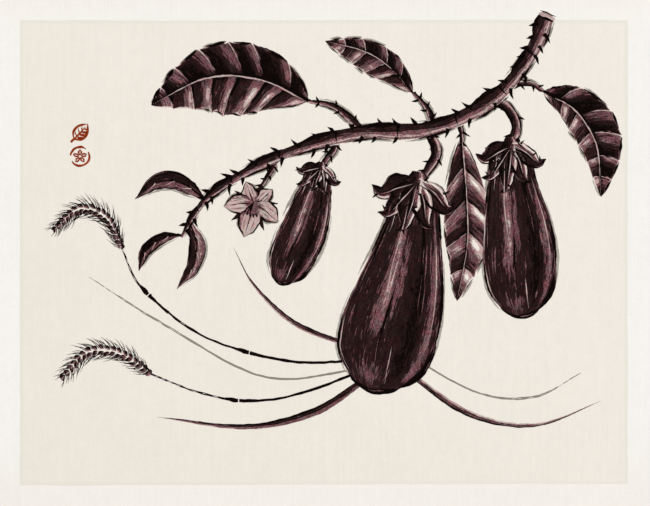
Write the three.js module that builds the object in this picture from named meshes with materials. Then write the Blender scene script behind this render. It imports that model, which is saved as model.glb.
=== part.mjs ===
// A woodblock print: one sheet of thick handmade paper, lying face up on a table.
// Millimetres, +Z up. X runs along the sheet's long side and Y up the picture.
// The origin is under the sheet's centre, in the plane that it rests on.
import * as THREE from "three";

// The sheet as trimmed.
const SHEET_WIDTH = 330;
const SHEET_DEPTH = 258;
const PAPER_THICKNESS = 0.3;

// The middle of the sheet lies flat, and its edges and corners lift as old paper does.
const FLAT_SHARE = 0.6;
const SHORT_EDGE_LIFT = 0.7;
const LONG_EDGE_LIFT = 0.4;
const CORNER_LIFT = { leftFront: 1.6, rightFront: 2.6, leftBack: 1.2, rightBack: 1.9 };

// Cells along and across the sheet. The flat middle ends on a line between two of them.
const CELLS_ALONG = 30;
const CELLS_ACROSS = 20;

const PAPER_COLOUR = 0xf2eee6;

// 0 inside the flat middle, growing as a square to 1 at the sheet's edge.
function outward(distance, half) {
  const share = Math.max(distance / half - FLAT_SHARE, 0) / (1 - FLAT_SHARE);
  return share * share;
}

function cornerLift(x, y) {
  if (y < 0) return x < 0 ? CORNER_LIFT.leftFront : CORNER_LIFT.rightFront;
  return x < 0 ? CORNER_LIFT.leftBack : CORNER_LIFT.rightBack;
}

// How far the paper at (x, y) has lifted off the table.
function lift(x, y) {
  const along = outward(Math.abs(x), SHEET_WIDTH / 2);
  const across = outward(Math.abs(y), SHEET_DEPTH / 2);
  return (
    SHORT_EDGE_LIFT * along + LONG_EDGE_LIFT * across + cornerLift(x, y) * along * across
  );
}

function sheetGeometry() {
  const sheet = new THREE.BoxGeometry(
    SHEET_WIDTH, SHEET_DEPTH, PAPER_THICKNESS, CELLS_ALONG, CELLS_ACROSS, 1,
  );
  sheet.translate(0, 0, PAPER_THICKNESS / 2);
  const places = sheet.getAttribute("position");
  for (let i = 0; i < places.count; i += 1) {
    places.setZ(i, places.getZ(i) + lift(places.getX(i), places.getY(i)));
  }
  sheet.computeVertexNormals();
  return sheet;
}

const paper = new THREE.MeshStandardMaterial({
  color: PAPER_COLOUR,
  roughness: 0.9,
  metalness: 0,
});

const printSheet = new THREE.Mesh(sheetGeometry(), paper);
printSheet.name = "print_sheet";

const group = new THREE.Group();
group.add(printSheet);

export default group;
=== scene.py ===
"""A woodblock print of an aubergine branch and foxtail grass, on one sheet of handmade paper."""
import math
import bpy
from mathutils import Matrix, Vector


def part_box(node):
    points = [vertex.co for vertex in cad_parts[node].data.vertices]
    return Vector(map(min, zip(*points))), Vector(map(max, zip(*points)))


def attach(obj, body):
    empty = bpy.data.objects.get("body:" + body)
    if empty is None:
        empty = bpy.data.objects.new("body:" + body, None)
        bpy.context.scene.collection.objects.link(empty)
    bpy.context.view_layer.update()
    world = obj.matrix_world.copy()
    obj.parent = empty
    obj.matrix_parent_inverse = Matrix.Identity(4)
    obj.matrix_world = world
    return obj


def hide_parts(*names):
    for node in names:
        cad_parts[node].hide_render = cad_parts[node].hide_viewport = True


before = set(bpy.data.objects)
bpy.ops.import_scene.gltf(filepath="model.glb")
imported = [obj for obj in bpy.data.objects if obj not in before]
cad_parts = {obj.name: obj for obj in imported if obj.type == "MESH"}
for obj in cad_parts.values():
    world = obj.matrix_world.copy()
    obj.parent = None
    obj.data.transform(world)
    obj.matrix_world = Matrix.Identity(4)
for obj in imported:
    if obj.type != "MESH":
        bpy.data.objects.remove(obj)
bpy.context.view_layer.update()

from types import SimpleNamespace

import bpy
import numpy as np

# ------------------------------------------------------------------ measures, in millimetres
MM = 0.001
SHEET_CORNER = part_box("print_sheet")[1]
HALF_WIDTH = SHEET_CORNER.x / MM
HALF_DEPTH = SHEET_CORNER.y / MM
PAPER_THICKNESS = 0.3

# How the sheet lifts off the table, as its solid does: left and right corner, front and back.
FLAT_SHARE = 0.6
SHORT_EDGE_LIFT = 0.7
LONG_EDGE_LIFT = 0.4
FRONT_CORNERS = (1.6, 2.6)
BACK_CORNERS = (1.2, 1.9)

# Soft waves in the paper: height, length and direction of each.
COCKLES = ((0.07, 92.0, 0.35), (0.05, 61.0, 1.75), (0.03, 44.0, 2.6))

# The sheet's mesh. Then its trimmed edges: the room that they leave inside the solid's box, the
# wear of the corners, the edges' rounding, and the size, pace and start of each wave in them.
SHEET_CELL = 1.65
SHEET_COLUMNS = round(2 * HALF_WIDTH / SHEET_CELL)
SHEET_ROWS = round(2 * HALF_DEPTH / SHEET_CELL)
TRIM_ROOM = 0.2
CORNER_WEAR = 0.7
EDGE_ROUNDING = 0.06
SHORT_TRIM = ((0.12, 5.1, 0.4), (0.07, 17.0, 0.0))
LONG_TRIM = ((0.10, 6.3, 1.9), (0.06, 23.0, 0.0))

# Films of ink: one layer's height, how far a film reaches down into the paper, and the small
# steps that keep patches of one layer apart.
LAYER = 0.008
SUNK = 0.01
STAGGER = 0.0006
STAGGER_STEPS = 7

# The printed ground: its sides, the rise of its foot from left to right, the size and number of
# the waves in its edges, and how far in from them the colour pools. Then the fold.
GROUND_LEFT, GROUND_RIGHT = -152.5, 151.3
GROUND_BOTTOM, GROUND_TOP = -115.8, 116.4
GROUND_TILT = 0.8
GROUND_WANDER = (0.1, 22)
RIM_WIDTH = 3.6
FOLD_AT = 1.3

rng = np.random.default_rng(1891)


# ------------------------------------------------------------------ the paper's surface
def outward(distance, half):
    """0 over the flat middle, growing as a square to 1 at the edge."""
    share = np.clip(np.abs(distance) / half - FLAT_SHARE, 0, None) / (1 - FLAT_SHARE)
    return share**2


def paper_height(x, y):
    """Height of the sheet's underside at x, y."""
    along = outward(x, HALF_WIDTH)
    across = outward(y, HALF_DEPTH)
    corner = np.where(y < 0, np.where(x < 0, *FRONT_CORNERS), np.where(x < 0, *BACK_CORNERS))
    height = SHORT_EDGE_LIFT * along + LONG_EDGE_LIFT * across + corner * along * across
    for size, length, turn in COCKLES:
        run = x * math.cos(turn) + y * math.sin(turn)
        height = height + size * (1 + np.sin(2 * math.pi * run / length + turn))
    return height


# ------------------------------------------------------------------ materials
class Tone:
    """A number or colour that varies over a surface. Sums and products add Math nodes."""

    def __init__(self, recipe, socket):
        self.recipe = recipe
        self.socket = socket

    def maths(self, operation, *values):
        settings = {"operation": operation}
        return self.recipe.node("ShaderNodeMath", settings, dict(enumerate(values)))

    def __add__(self, other):
        return self.maths("ADD", self, other)

    def __radd__(self, other):
        return self.maths("ADD", other, self)

    def __sub__(self, other):
        return self.maths("SUBTRACT", self, other)

    def __rsub__(self, other):
        return self.maths("SUBTRACT", other, self)

    def __mul__(self, other):
        return self.maths("MULTIPLY", self, other)

    def __rmul__(self, other):
        return self.maths("MULTIPLY", other, self)

    def __abs__(self):
        return self.maths("ABSOLUTE", self)


class Recipe:
    """A material being mixed from nodes."""

    def __init__(self, name, roughness, specular):
        self.material = bpy.data.materials.new(name)
        self.material.use_nodes = True
        self.tree = self.material.node_tree
        self.shader = self.tree.nodes["Principled BSDF"]
        self.shader.inputs["Roughness"].default_value = roughness
        self.shader.inputs["Specular IOR Level"].default_value = specular

    def node(self, kind, settings=None, inputs=None, output=0):
        """Adds a node with its settings first and then its values or links."""
        made = self.tree.nodes.new(kind)
        for name, value in (settings or {}).items():
            setattr(made, name, value)
        for name, value in (inputs or {}).items():
            self.feed(made.inputs[name], value)
        return Tone(self, made.outputs[output])

    def feed(self, socket, value):
        if isinstance(value, Tone):
            self.tree.links.new(value.socket, socket)
        else:
            socket.default_value = value

    def attribute(self, name):
        """A number that the mesh carries at its vertices."""
        return self.node("ShaderNodeAttribute", {"attribute_name": name}, output="Fac")

    def axis(self, places, index):
        """One of a vector's three numbers."""
        return self.node("ShaderNodeSeparateXYZ", None, {0: places}, index)

    def scaled(self, vector, amounts):
        """A vector times another one, number by number."""
        settings = {"operation": "MULTIPLY"}
        return self.node("ShaderNodeVectorMath", settings, {0: vector, 1: amounts})

    def times(self, colour, amount):
        settings = {"operation": "SCALE"}
        return self.node("ShaderNodeVectorMath", settings, {0: colour, "Scale": amount})

    def noise(self, places, size, detail=2.0, roughness=0.5, distortion=0.0):
        """Cloudy noise about zero, with features of this size along each axis."""
        inputs = {
            "Vector": self.scaled(places, tuple(1 / length for length in size)),
            "Scale": 1.0, "Detail": detail, "Roughness": roughness, "Distortion": distortion,
        }
        return self.node("ShaderNodeTexNoise", None, inputs) - 0.5

    def step(self, value, low, high):
        """0 below low and 1 above high, smooth between."""
        return self.node(
            "ShaderNodeMapRange",
            {"interpolation_type": "SMOOTHSTEP"},
            {"Value": value, "From Min": low, "From Max": high},
        )

    def mix(self, share, first, second):
        inputs = {0: share, 6: first, 7: second}
        return self.node("ShaderNodeMix", {"data_type": "RGBA"}, inputs, output=2)

    def finish(self, colour, normal=None):
        self.feed(self.shader.inputs["Base Color"], colour)
        if normal is not None:
            self.feed(self.shader.inputs["Normal"], normal)
        return self.material


def srgb(red, green, blue):
    """A colour by its 0 to 255 values on a screen, as linear light."""
    share = np.array([red, green, blue]) / 255
    linear = np.where(share <= 0.04045, share / 12.92, ((share + 0.055) / 1.055) ** 2.4)
    return (*linear.tolist(), 1.0)


BARE = srgb(247, 244, 239)
BARE_LOW = srgb(245, 240, 233)
FIBRE = srgb(218, 206, 188)
STRUCK_THROUGH_AND_CREASE_SHADE = srgb(205, 192, 187)
TINTED = srgb(242, 235, 225)
TINTED_LOW = srgb(238, 231, 220)
TINT_EDGE = srgb(230, 228, 215)
WASH = srgb(182, 155, 151)
WASH_LIGHT = srgb(204, 183, 177)
MAUVE = srgb(112, 78, 82)
MAUVE_LIGHT = srgb(143, 107, 110)
MAUVE_DARK = srgb(83, 54, 57)
PLUM = srgb(33, 19, 19)
PLUM_THIN = srgb(52, 33, 34)
BLACK = srgb(13, 7, 6)
GREY = srgb(142, 134, 124)
GREY_THIN = srgb(182, 174, 164)
RED = srgb(134, 40, 8)
RED_THIN = srgb(178, 98, 58)

# How far the picture's inks lean to red and away from it, as shares of each colour.
REDDER = (1.13, 0.92, 0.97, 1.0)
GREYER = (0.89, 1.07, 1.02, 1.0)
AS_MIXED = (1.0, 1.0, 1.0, 1.0)

# How much each part of the paper's grain lightens and darkens it.
CLOUDED, BLOTCHED, STREAKED, FELTED = 0.04, 0.055, 0.06, 0.11

# The loads from which each block prints: where its ink starts, and where it is full.
WASH_FROM = (0.08, 0.12)
MAUVE_FROM = (0.285, 0.315)
PLUM_FROM = (0.59, 0.62)
BLACK_FROM = (0.90, 0.92)

# A size for noise that stays the same along an axis.
ENDLESS = math.inf


def paper_grain(recipe):
    """The handmade sheet's cloudiness, laid streaks, felt and stray fibres, by place in mm."""
    object_places = recipe.node("ShaderNodeTexCoord", output="Object")
    places = recipe.scaled(object_places, (1 / MM, 1 / MM, 1 / MM))
    wander = recipe.noise(places, (11, 9, 10), distortion=1.6)
    return SimpleNamespace(
        places=places,
        cloud=recipe.noise(places, (24, 28, 20), 3.0),
        blotch=recipe.noise(places, (4.4, 5.5, 5)),
        streak=recipe.noise(places, (1.5, 40, 9)),
        felt=recipe.noise(places, (0.8, 0.9, 0.8), 3.0, 0.6),
        fibre=1 - recipe.step(abs(wander), 0.0, 0.006),
    )


def paper_colour(recipe, fresh, old, aged, grain):
    """A paper colour, warmer where it has aged, with the sheet's grain in it."""
    plain = recipe.mix(grain.fibre * 0.14, recipe.mix(aged, fresh, old), FIBRE)
    shade = 1 + CLOUDED * grain.cloud + BLOTCHED * grain.blotch + STREAKED * grain.streak
    return recipe.times(plain, shade + FELTED * grain.felt)


def paper_normal(recipe, grain, strength=0.35):
    """The grain's relief."""
    height = grain.felt * 0.6 + grain.streak * 0.35 + grain.fibre * 0.25
    inputs = {"Strength": strength, "Distance": 0.06 * MM, "Height": height}
    return recipe.node("ShaderNodeBump", None, inputs)


def sheet_material():
    """The bare sheet, aged towards its long edges, with a trace of the picture on its back and a
    painted shade line along the fold there.
    """
    recipe = Recipe("handmade_paper", 0.92, 0.12)
    grain = paper_grain(recipe)
    off = abs(recipe.axis(grain.places, 1) - 8.0)
    aged = recipe.step(off + 30 * grain.cloud, 92.0, 132.0)
    colour = paper_colour(recipe, BARE, BARE_LOW, aged, grain)
    uneven = 1 + 1.6 * grain.blotch + 1.1 * grain.felt + 0.8 * grain.streak
    # Darker where the ink shows through, and painted shade in a line along the fold.
    struck_and_crease_shade = recipe.step(recipe.attribute("through") * uneven, 0.25, 1.35)
    colour = recipe.mix(struck_and_crease_shade * 0.75, colour, STRUCK_THROUGH_AND_CREASE_SHADE)
    return recipe.finish(colour, paper_normal(recipe, grain))


def ground_colour(recipe, grain):
    """The pale tint as it lies in the paper, with a painted highlight: a lighter line along the
    fold, where its crease would catch the light.
    """
    up = recipe.axis(grain.places, 1)
    right = recipe.axis(grain.places, 0)
    aged = recipe.step(up + 0.9 * right + 110 * grain.cloud, 190.0, -230.0)
    colour = paper_colour(recipe, TINTED, TINTED_LOW, aged, grain)
    # Painted highlight: in a broken line along the fold the tint lightens to the bare paper's
    # colour, standing in for the crease catching the light.
    wander = recipe.noise(grain.places, (ENDLESS, 30, ENDLESS), 1.0)
    worn = recipe.noise(grain.places, (ENDLESS, 9, ENDLESS))
    line = 1 - recipe.step(abs(right - FOLD_AT + wander), 0.1, 0.5)
    return recipe.mix(line * recipe.step(worn, -0.25, 0.15) * 0.3, colour, BARE)


def tint_material():
    """The printed ground: thin colour that pools in a line at the block's edge."""
    recipe = Recipe("ground_tint", 0.9, 0.1)
    grain = paper_grain(recipe)
    rim = recipe.attribute("load") + 0.5 * grain.felt + 0.6 * grain.blotch
    edge = recipe.step(rim, 0.35, 0.8) * 0.55
    colour = recipe.mix(edge, ground_colour(recipe, grain), TINT_EDGE)
    return recipe.finish(colour, paper_normal(recipe, grain))


def brushed(recipe, along, across):
    """Streaks drawn out along the brush's way, so long and so wide."""
    brush = recipe.node("ShaderNodeUVMap", {"uv_map": "brush"})
    return recipe.noise(brush, (along, across, ENDLESS), 2.0, 0.6)


def picture_material():
    """The picture's inks, one block over another: wash, mauve, plum and black.

    The load says how much ink the brush laid. Each block starts at its own load, and the
    brush's streaks and the paper's tooth break up where it starts.
    """
    recipe = Recipe("picture_inks", 0.9, 0.02)
    grain = paper_grain(recipe)
    load = recipe.attribute("load")
    broad = brushed(recipe, 9.0, 2.0)
    fine = brushed(recipe, 7.0, 0.8)
    speck = recipe.noise(grain.places, (0.9, 0.9, 0.9), 2.0, 0.7)
    grit = recipe.noise(grain.places, (0.45, 0.45, 0.45), 1.0, 0.7)
    uneven = recipe.noise(grain.places, (3.6, 3.2, 3), 3.0, 0.6)
    lean = recipe.mix(recipe.step(uneven, -0.16, 0.16), REDDER, GREYER)

    wash = recipe.mix(recipe.step(broad + 0.8 * speck, -0.16, 0.2), WASH, WASH_LIGHT)
    ink = recipe.scaled(wash, recipe.mix(0.5, AS_MIXED, lean))
    tone = 1.2 * speck + 1.2 * grit + 0.5 * broad + 0.4 * grain.blotch
    mauve = recipe.mix(recipe.step(tone, -0.22, 0.04), MAUVE_DARK, MAUVE)
    mauve = recipe.mix(recipe.step(tone, 0.04, 0.24), mauve, MAUVE_LIGHT)
    mauved = recipe.step(load + 0.55 * fine + 0.5 * speck, *MAUVE_FROM)
    ink = recipe.mix(mauved, ink, recipe.scaled(mauve, lean))
    plum = recipe.mix(recipe.step(broad + speck, -0.10, 0.26), PLUM, PLUM_THIN)
    plummed = recipe.step(load + 0.95 * fine + 0.45 * broad + 0.4 * speck, *PLUM_FROM)
    ink = recipe.mix(plummed, ink, recipe.scaled(plum, lean))
    blacked = recipe.step(load + 0.5 * fine + 0.5 * speck, *BLACK_FROM)
    ink = recipe.mix(blacked, ink, BLACK)
    ink = recipe.times(ink, 1 + 0.30 * grain.felt + 0.22 * grain.streak)
    laid = recipe.step(load + 0.3 * fine + 0.4 * speck, *WASH_FROM)
    colour = recipe.mix(laid, ground_colour(recipe, grain), ink)
    return recipe.finish(colour, paper_normal(recipe, grain, 0.3))


def thin_ink_material(name, full, thin):
    """One block's ink on the bare ground, worn through where the load is small."""
    recipe = Recipe(name, 0.9, 0.04)
    grain = paper_grain(recipe)
    speck = recipe.noise(grain.places, (0.8, 0.8, 0.8), 2.0, 0.7)
    level = recipe.attribute("load") + 0.6 * brushed(recipe, 7.0, 0.6) + 0.7 * speck
    ink = recipe.mix(recipe.step(level, 0.42, 0.7), thin, full)
    colour = recipe.mix(recipe.step(level, 0.22, 0.30), ground_colour(recipe, grain), ink)
    return recipe.finish(colour, paper_normal(recipe, grain, 0.3))


# ------------------------------------------------------------------ lines and patches
# Row counts that strokes are rounded up to, so that they share a mesh, and the step they aim at.
ROW_COUNTS = (8, 14, 24, 40, 70, 120)
ROW_STEP = 0.9

# The least half width of a stroke, and the length of the smallest waves in its edges.
THINNEST = 0.012
RAGGED_STEP = 2.6

# How much ink a mark is laid with: none, a wash, dark, and so full that it prints black.
DRY, PALE, DARK, FULL = 0.0, 0.2, 0.78, 1.15


def smooth(values, at):
    """A smooth run through values, or points, that stand at even steps from 0 to 1."""
    values = np.array(values, float)
    held = np.concatenate([[2 * values[0] - values[1]], values, [2 * values[-1] - values[-2]]])
    run = np.clip(at, 0, 1) * (len(values) - 1)
    index = np.minimum(run.astype(int), len(values) - 2)
    t = run - index
    if values.ndim == 2:
        t = t[:, None]
    a, b, c, d = (held[index + k] for k in range(4))
    bend = (2 * a - 5 * b + 4 * c - d) * t**2 + (3 * b - a - 3 * c + d) * t**3
    return b + 0.5 * ((c - a) * t + bend)


def spread(count, bunched):
    """Shares from 0 to 1, closer together at both ends where bunched is more than 0."""
    even = np.linspace(0, 1, count)
    return (1 - bunched) * even + bunched * (1 - np.cos(math.pi * even)) / 2


def gaps(points):
    """The distance from each point to the next."""
    return np.linalg.norm(np.diff(np.array(points, float), axis=0), axis=1)


def smooth_line(points, count, bunched=0.4):
    """A smooth line of count points through the given ones, with their shares and its length."""
    fine = smooth(points, np.linspace(0, 1, 32 * len(points)))
    run = np.concatenate([[0], np.cumsum(gaps(fine))])
    share = spread(count, bunched)
    line = np.stack([np.interp(share * run[-1], run, axis) for axis in fine.T], 1)
    return line, share, run[-1]


def to_the_right(line):
    """Unit vectors pointing to the right of the line's way."""
    way = np.gradient(line, axis=0)
    way /= np.maximum(np.linalg.norm(way, axis=1), 1e-9)[:, None]
    return np.stack([way[:, 1], -way[:, 0]], 1)


def unit(vector):
    """A vector of length 1 that points the same way."""
    vector = np.asarray(vector, float)
    return vector / max(np.linalg.norm(vector), 1e-9)


def turned(vector, degrees):
    """A vector turned to the left."""
    c, s = math.cos(math.radians(degrees)), math.sin(math.radians(degrees))
    return np.array([c * vector[0] - s * vector[1], s * vector[0] + c * vector[1]])


def gauss(value, centre, width):
    """A bump of height 1 at the centre, about twice this wide."""
    return np.exp(-(((value - centre) / width) ** 2))


def rise(value, low, high):
    """0 below low and 1 above high, smooth between."""
    share = np.clip((value - low) / (high - low), 0, 1)
    return share * share * (3 - 2 * share)


def waver(steps, size, waves):
    """A smooth random wander of about this size, with up to so many waves."""
    at = np.linspace(0, 1, steps)
    k = np.arange(1, waves + 1)[:, None]
    strength = rng.normal(size=(waves, 1)) / k**0.5
    total = (strength * np.sin(2 * math.pi * (k * at + rng.random((waves, 1))))).sum(0)
    return size * total / math.sqrt((0.5 / k).sum())


def scattered(first, last, count):
    """Places from first to last, each a little off its even step."""
    gap = (last - first) / count
    return np.linspace(first, last, count) + rng.uniform(-0.35, 0.35, count) * gap


def patch(place, brush, load, step=0):
    """A piece of inked surface: rows run along the brush's way, columns across it."""
    mid = place.shape[0] // 2
    over = np.cross(place[mid, -1] - place[mid, 0], place[mid + 1, 0] - place[mid - 1, 0])
    if over < 0:
        place, brush, load = place[:, ::-1], brush[:, ::-1], load[:, ::-1]
    return SimpleNamespace(place=place, brush=brush, load=load, step=step)


def brush_map(along, across):
    """Distances along and across the brush's way, in a part of its streaks of their own."""
    return np.stack(np.broadcast_arrays(along, across), 2) + rng.uniform(0, 400, 2)


def stroke(points, widths, load=FULL, columns=2, step=2, rough=0.1, rows=None):
    """A brush stroke along a smooth line, with its full widths at even steps along it.

    load is one number, or a function of the share along and the place across, -1 to 1.
    """
    if rows is None:
        wanted = gaps(points).sum() / ROW_STEP
        rows = next((count for count in ROW_COUNTS if count >= wanted), ROW_COUNTS[-1])
    line, share, length = smooth_line(points, rows)
    half = np.maximum(smooth(widths, share) / 2, THINNEST)
    ragged = np.minimum(rough, 0.3 * half)
    waves = int(np.clip(length / RAGGED_STEP, 2, 34))
    left, right = (
        half * (1 + waver(rows, 0.06, 3)) + ragged * waver(rows, 1.0, waves) for _ in range(2)
    )
    across = np.linspace(-1, 1, columns)
    side = np.maximum(np.where(across < 0, left[:, None], right[:, None]), THINNEST)
    place = line[:, None] + to_the_right(line)[:, None] * (side * across)[:, :, None]
    brush = brush_map(share[:, None] * length, side * across)
    full = load(share[:, None], across[None, :]) if callable(load) else load
    return patch(place, brush, np.broadcast_to(full, place.shape[:2]).astype(float), step)


def trace(on, along, across):
    """Points on a patch, by shares along its rows and places across, -1 to 1."""
    rows, columns = on.load.shape
    r = np.clip(np.asarray(along, float), 0, 1) * (rows - 1)
    c = (np.clip(np.asarray(across, float), -1, 1) + 1) / 2 * (columns - 1)
    r0 = np.minimum(r.astype(int), rows - 2)
    c0 = np.minimum(c.astype(int), columns - 2)
    fr, fc = (r - r0)[:, None], (c - c0)[:, None]
    top = on.place[r0, c0] * (1 - fc) + on.place[r0, c0 + 1] * fc
    low = on.place[r0 + 1, c0] * (1 - fc) + on.place[r0 + 1, c0 + 1] * fc
    return top * (1 - fr) + low * fr


def drawn_on(on, stops, widths, load=FULL, step=2, outside=0.0, **more):
    """A stroke over a patch through (along, across) stops, moved outwards if asked."""
    along, across = smooth(stops, np.linspace(0, 1, 4 * len(stops))).T
    path = trace(on, along, across)
    if outside:
        away = path - trace(on, along, 0 * across)
        away /= np.maximum(np.linalg.norm(away, axis=1), 1e-6)[:, None]
        path = path + away * outside
    return stroke(path, widths, load, step=step, **more)


def add_lines(ink, on, lines, **more):
    """Adds strokes over a patch, each by its stops, its widths and, if given, its load."""
    for line in lines:
        ink.append(drawn_on(on, *line, **more))


def accent(ink, made):
    """Adds a wide stroke, with the slivers that a drying brush leaves in its second half."""
    ink.append(made)
    for _ in range(2):
        start = rng.uniform(0.45, 0.7)
        at = rng.uniform(-0.6, 0.6)
        widths = (0.03, rng.uniform(0.22, 0.4), 0.03)
        stops = [(start, at), (start + rng.uniform(0.12, 0.3), at)]
        ink.append(drawn_on(made, stops, widths, 0.45, made.step + 1))


def accents(ink, on, lines, size):
    """Adds wide strokes over a patch, each by its stops and its widths at size 1."""
    for stops, widths in lines:
        accent(ink, drawn_on(on, stops, np.array(widths) * size))


# ------------------------------------------------------------------ films of ink
# The share of a bake map that the hidden sides take up, and as much again to keep it apart.
HIDDEN_STRIP = 0.03


def numbers_of(items, name, width=1, kind=float):
    """A mesh's numbers of this name, in rows where there are more to each item."""
    values = np.empty(len(items) * width, kind)
    items.foreach_get(name, values)
    return values.reshape(-1, width) if width > 1 else values


def set_numbers(items, name, values):
    """Gives a mesh's items their numbers of this name."""
    items.foreach_set(name, np.asarray(values, np.float32).ravel())


def give_number(mesh, name, values):
    """Gives each vertex a number for the materials to read."""
    set_numbers(mesh.attributes.new(name, "FLOAT", "POINT").data, "value", values)


def flat_grid(name, columns, rows):
    """A flat grid of so many faces each way, 1 m wide and deep."""
    bpy.ops.object.select_all(action="DESELECT")
    bpy.ops.mesh.primitive_grid_add(x_subdivisions=columns, y_subdivisions=rows, size=1)
    made = bpy.context.object
    made.name = name
    return made


def separate_grids(name, rows, columns, count):
    """One mesh of count separate flat grids, one after another."""
    made = flat_grid(name, columns - 1, rows * count - 1)
    made.data.uv_layers[0].name = "brush"
    if count > 1:
        bpy.ops.object.mode_set(mode="EDIT")
        bpy.ops.mesh.select_mode(type="FACE")
        bpy.ops.mesh.select_all(action="DESELECT")
        bpy.ops.object.mode_set(mode="OBJECT")
        face_row = np.arange(len(made.data.polygons)) // (columns - 1)
        made.data.polygons.foreach_set("select", face_row % rows == rows - 1)
        bpy.ops.object.mode_set(mode="EDIT")
        bpy.ops.mesh.delete(type="FACE")
        bpy.ops.object.mode_set(mode="OBJECT")
    return made


def lay_patches(name, patches, level):
    """Patches of one shape as a mesh just above the paper."""
    rows, columns = patches[0].load.shape
    made = separate_grids(name, rows, columns, len(patches))
    place = np.concatenate([p.place.reshape(-1, 2) for p in patches])
    lifts = [i % STAGGER_STEPS * STAGGER + p.step * LAYER for i, p in enumerate(patches)]
    height = paper_height(*place.T) + PAPER_THICKNESS + level * LAYER
    height = height + np.repeat(lifts, rows * columns)
    set_numbers(made.data.vertices, "co", np.column_stack([place, height]) * MM)
    give_number(made.data, "load", np.concatenate([p.load.ravel() for p in patches]))
    brush = np.concatenate([p.brush.reshape(-1, 2) for p in patches])
    corner = numbers_of(made.data.loops, "vertex_index", kind=np.int32)
    set_numbers(made.data.uv_layers["brush"].uv, "vector", brush[corner])
    made.data.update()
    return made


def bake_map(mesh):
    """A map seen from above, with the hidden sides in a strip along its foot."""
    places = numbers_of(mesh.vertices, "co", 3)[:, :2]
    low, high = places.min(0), places.max(0)
    corner = numbers_of(mesh.loops, "vertex_index", kind=np.int32)
    flat = ((places - low) / (high - low))[corner]
    corners = numbers_of(mesh.polygons, "loop_total", kind=np.int32)
    hidden = np.repeat(numbers_of(mesh.polygons, "normal", 3)[:, 2] < 0.5, corners)
    flat[hidden, 1] *= HIDDEN_STRIP
    flat[~hidden, 1] = 2 * HIDDEN_STRIP + (1 - 2 * HIDDEN_STRIP) * flat[~hidden, 1]
    set_numbers(mesh.uv_layers.new(name="OFBake").uv, "vector", flat)


def thicken(made, thickness):
    """Gives a flat mesh its thickness, downwards from its face."""
    body = made.modifiers.new("body", "SOLIDIFY")
    body.thickness = thickness * MM
    body.offset = -1
    bpy.ops.object.modifier_apply(modifier="body")


def film(name, patches, level, material):
    """Joins patches into one closed film of ink that reaches down into the paper."""
    # Patches of one step and one shape are laid as one mesh.
    groups = {}
    for p in sorted(patches, key=lambda p: p.step):
        groups.setdefault((p.step, p.load.shape), []).append(p)
    parts = [lay_patches(name, group, level) for group in groups.values()]
    bpy.ops.object.select_all(action="DESELECT")
    for part in parts:
        part.select_set(True)
    made = parts[0]
    bpy.context.view_layer.objects.active = made
    if len(parts) > 1:
        bpy.ops.object.join()
    made.name = name
    made.data.name = name
    thicken(made, (level + max(p.step for p in patches)) * LAYER + SUNK)
    bpy.ops.object.shade_smooth_by_angle(angle=math.radians(40))
    bake_map(made.data)
    made.data.materials.append(material)
    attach(made, "root")


# ------------------------------------------------------------------ the sheet and its ground
# The marks on the sheet's back: how often the ink's edge is softened, and the strength and half
# width of the painted shade along the fold.
SOAK_ROUNDS = 2
FOLD_SHADE = (0.45, 2.0)

# The printed ground's mesh, and how closely it bunches towards its edges.
GROUND_ROWS, GROUND_COLUMNS = 120, 150
GROUND_BUNCHED = 0.25


def trimmed(share, along_edge, half, waves):
    """Places from the middle to the edge, by shares of the half, with the edge uneven."""
    # Only the four corner points are worn.
    worn = (np.abs(share * along_edge) > 0.999) * CORNER_WEAR
    uneven = np.abs(sum(size * np.sin(along_edge * pace + start) for size, pace, start in waves))
    return share * (half - TRIM_ROOM - worn - uneven * np.abs(share) ** 9)


def make_sheet(material):
    """The sheet: a fine grid bent as the paper lies, then given its thickness."""
    sheet = flat_grid("paper_sheet", SHEET_COLUMNS, SHEET_ROWS)
    across, along, _ = 2 * numbers_of(sheet.data.vertices, "co", 3).T
    x = trimmed(across, along, HALF_WIDTH, SHORT_TRIM)
    y = trimmed(along, across, HALF_DEPTH, LONG_TRIM)
    placed = np.column_stack([x, y, paper_height(x, y) + PAPER_THICKNESS]) * MM
    set_numbers(sheet.data.vertices, "co", placed)
    thicken(sheet, PAPER_THICKNESS)
    soft = sheet.modifiers.new("soft", "BEVEL")
    soft.width = EDGE_ROUNDING * MM
    soft.segments = 2
    soft.angle_limit = math.radians(60)
    bpy.ops.object.modifier_apply(modifier="soft")
    bpy.ops.object.shade_smooth_by_angle(angle=math.radians(50))
    sheet.data.materials.append(material)
    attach(sheet, "root")
    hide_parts("print_sheet")
    return sheet


def doubled(grid):
    """A grid's values with the ones midway between them, in no order."""
    grid = np.concatenate([grid, (grid[1:] + grid[:-1]) / 2])
    return np.concatenate([grid, (grid[:, 1:] + grid[:, :-1]) / 2], axis=1)


def nearest_crossing(x, y):
    """The column and row of the sheet's mesh that are nearest to x, y."""
    column = np.rint((x / HALF_WIDTH + 1) / 2 * SHEET_COLUMNS).astype(int)
    row = np.rint((y / HALF_DEPTH + 1) / 2 * SHEET_ROWS).astype(int)
    return column, row


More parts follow.
